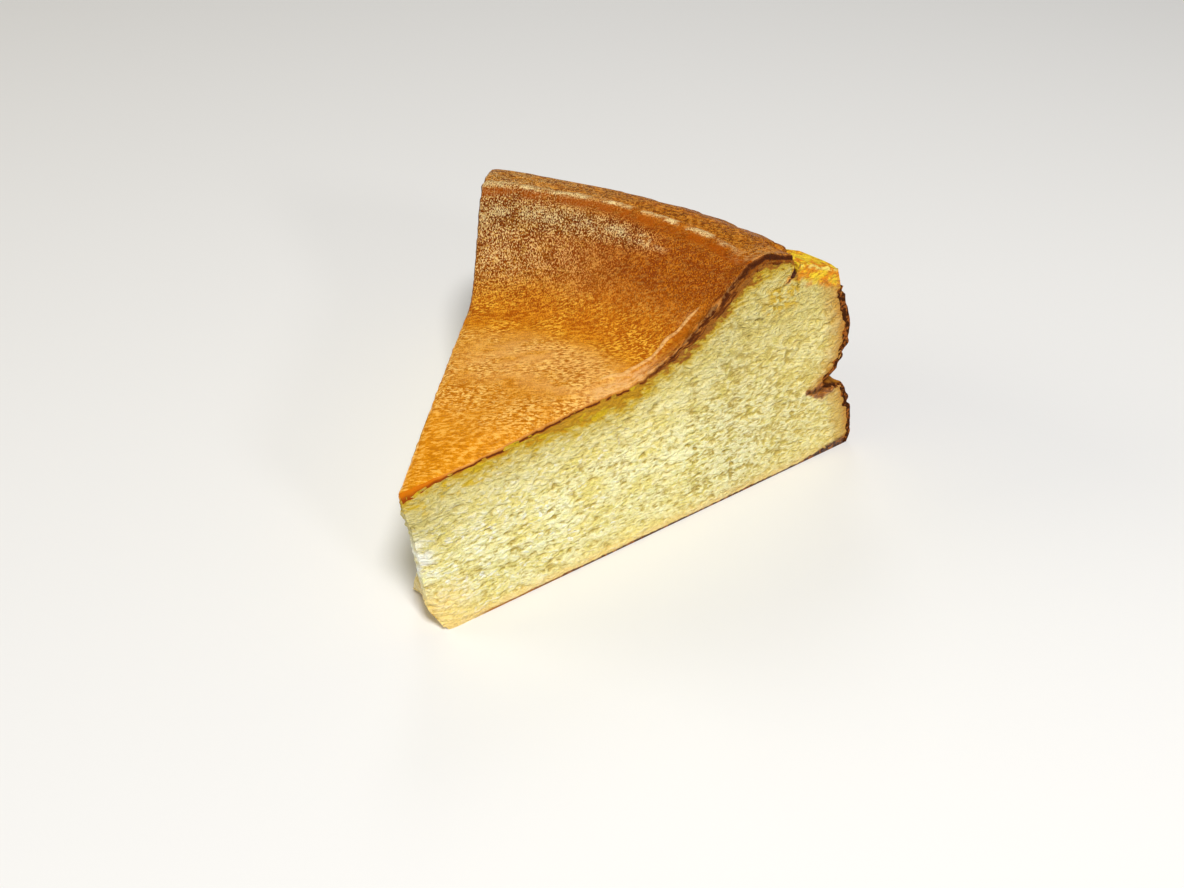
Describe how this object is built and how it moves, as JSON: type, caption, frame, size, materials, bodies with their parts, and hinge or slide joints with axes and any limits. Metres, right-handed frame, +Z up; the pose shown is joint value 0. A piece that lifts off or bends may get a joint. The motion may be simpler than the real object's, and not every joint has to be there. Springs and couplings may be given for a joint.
{
  "type": "basque cheesecake slice",
  "caption": "Wedge of basque cheesecake as cut: browned sunken top with a raised rim, pale moist crumb on the cut faces and a browned, paper-creased side.",
  "frame": {"origin": "centre of the slice's bounding box on the plane it rests on", "axes": "+Z up, the tip of the wedge towards -Y and the browned side of the cake towards +Y"},
  "size_m": [0.0874, 0.1, 0.0515],
  "materials": {
    "cheesecake": "soft baked cream cheese, ivory and moist where cut, under a thin browned skin with a low sheen"
  },
  "bodies": {
    "root": {"cheesecake_slice": "cheesecake"}
  },
  "joints": []
}
